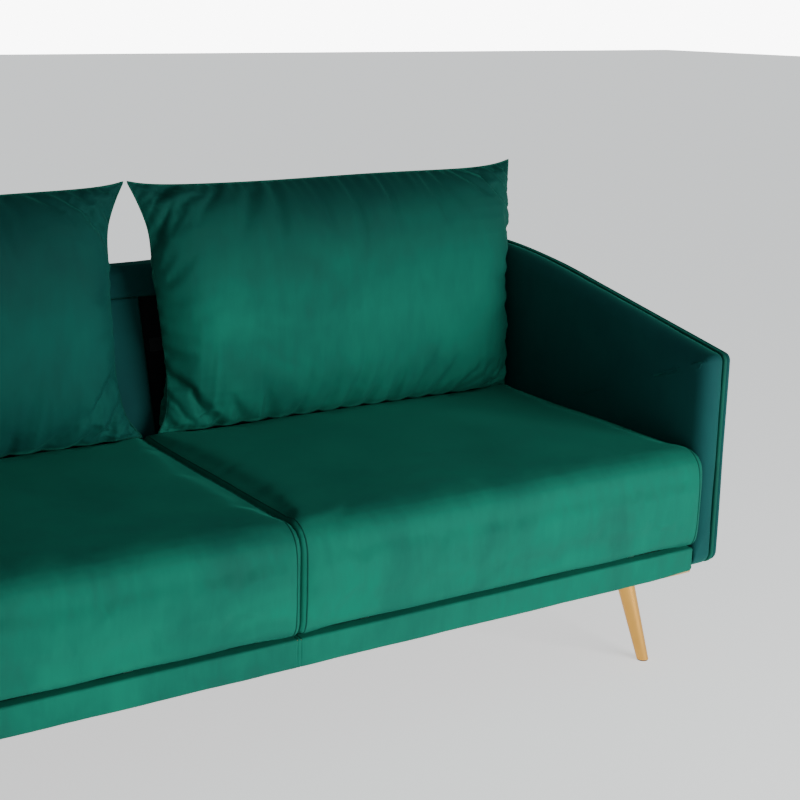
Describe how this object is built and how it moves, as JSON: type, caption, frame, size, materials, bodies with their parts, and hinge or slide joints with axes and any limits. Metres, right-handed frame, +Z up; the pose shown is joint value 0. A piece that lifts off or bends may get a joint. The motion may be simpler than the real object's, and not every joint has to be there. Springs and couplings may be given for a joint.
{
  "type": "sofa",
  "caption": "Velvet sofa with loose seat and back cushions on a slim base, thin welted arms and splayed tapered metal legs.",
  "frame": {"origin": "on the floor, under the middle of the sofa's width and depth", "axes": "+X to the right of someone facing the sofa, +Y to the back, +Z up"},
  "size_m": [1.9, 0.7921, 0.902],
  "materials": {
    "velvet": "matte",
    "foam": "matte",
    "fibre": "matte",
    "plywood": "matte",
    "pine": "matte",
    "black_lining": "matte",
    "dust_cloth": "matte",
    "webbing": "matte",
    "grip_tape": "matte",
    "zip_tape": "matte",
    "zip_metal": "satin",
    "gold_metal": "satin",
    "black_plastic": "matte",
    "clip_plastic": "matte",
    "black_metal": "satin",
    "zinc_steel": "satin",
    "spring_steel": "satin"
  },
  "bodies": {
    "root": {"arm_board_left": "plywood", "arm_board_right": "plywood", "arm_bolts": "zinc_steel", "arm_foam_left": "foam", "arm_foam_right": "foam", "arm_inner_cover_left": "velvet", "arm_inner_cover_right": "velvet", "arm_nuts": "zinc_steel", "arm_outer_cover_left": "velvet", "arm_outer_cover_right": "velvet", "arm_outer_pad_left": "foam", "arm_outer_pad_right": "foam", "arm_welt_left": "velvet", "arm_welt_right": "velvet", "back_bolts": "zinc_steel", "back_bottom_rail": "pine", "back_grip_tape": "grip_tape", "back_lining": "black_lining", "back_outer_cover": "velvet", "back_pads": "foam", "back_post_covers": "velvet", "back_posts": "pine", "back_top_cover": "velvet", "back_top_rail": "pine", "back_webbing": "webbing", "base_centre_rail": "pine", "base_corner_blocks": "pine", "base_front_rail": "pine", "base_rear_rail": "pine", "base_side_rail_left": "pine", "base_side_rail_right": "pine", "centre_support_leg": "black_metal", "dust_cover": "dust_cloth", "front_rail_cover": "velvet", "leg_front_left": "gold_metal", "leg_front_right": "gold_metal", "leg_glides": "black_plastic", "leg_plate_screws": "zinc_steel", "leg_plates": "zinc_steel", "leg_rear_left": "gold_metal", "leg_rear_right": "gold_metal", "seat_deck_cloth": "black_lining", "seat_springs": "spring_steel", "spring_clips": "clip_plastic"},
    "seat_cushion_left": {"seat_cushion_cover_left": "velvet", "seat_cushion_foam_left": "foam", "seat_cushion_zip_left": "zip_tape"},
    "seat_cushion_zip_slider_left": {"seat_cushion_zip_slider_left": "zip_metal"},
    "back_cushion_left": {"back_cushion_cover_left": "velvet", "back_cushion_filling_left": "fibre", "back_cushion_zip_left": "zip_tape"},
    "back_cushion_zip_slider_left": {"back_cushion_zip_slider_left": "zip_metal"},
    "seat_cushion_right": {"seat_cushion_cover_right": "velvet", "seat_cushion_foam_right": "foam", "seat_cushion_zip_right": "zip_tape"},
    "seat_cushion_zip_slider_right": {"seat_cushion_zip_slider_right": "zip_metal"},
    "back_cushion_right": {"back_cushion_cover_right": "velvet", "back_cushion_filling_right": "fibre", "back_cushion_zip_right": "zip_tape"},
    "back_cushion_zip_slider_right": {"back_cushion_zip_slider_right": "zip_metal"}
  },
  "joints": [
    {"name": "seat_cushion_left_lift", "type": "slide", "parent": "root", "child": "seat_cushion_left", "axis": [0, 0, 1], "range_m": [0, 0.52]},
    {"name": "seat_cushion_right_lift", "type": "slide", "parent": "root", "child": "seat_cushion_right", "axis": [0, 0, 1], "range_m": [0, 0.52]},
    {"name": "back_cushion_left_lift", "type": "slide", "parent": "seat_cushion_left", "child": "back_cushion_left", "axis": [0, 0, 1], "range_m": [0, 0.35]},
    {"name": "back_cushion_right_lift", "type": "slide", "parent": "seat_cushion_right", "child": "back_cushion_right", "axis": [0, 0, 1], "range_m": [0, 0.35]},
    {"name": "seat_cushion_zip_left", "type": "slide", "parent": "seat_cushion_left", "child": "seat_cushion_zip_slider_left", "axis": [-1, 0, 0], "range_m": [0, 0.6]},
    {"name": "back_cushion_zip_left", "type": "slide", "parent": "back_cushion_left", "child": "back_cushion_zip_slider_left", "axis": [-1, 0, 0], "range_m": [0, 0.6]},
    {"name": "seat_cushion_zip_right", "type": "slide", "parent": "seat_cushion_right", "child": "seat_cushion_zip_slider_right", "axis": [1, 0, 0], "range_m": [0, 0.6]},
    {"name": "back_cushion_zip_right", "type": "slide", "parent": "back_cushion_right", "child": "back_cushion_zip_slider_right", "axis": [1, 0, 0], "range_m": [0, 0.6]}
  ]
}
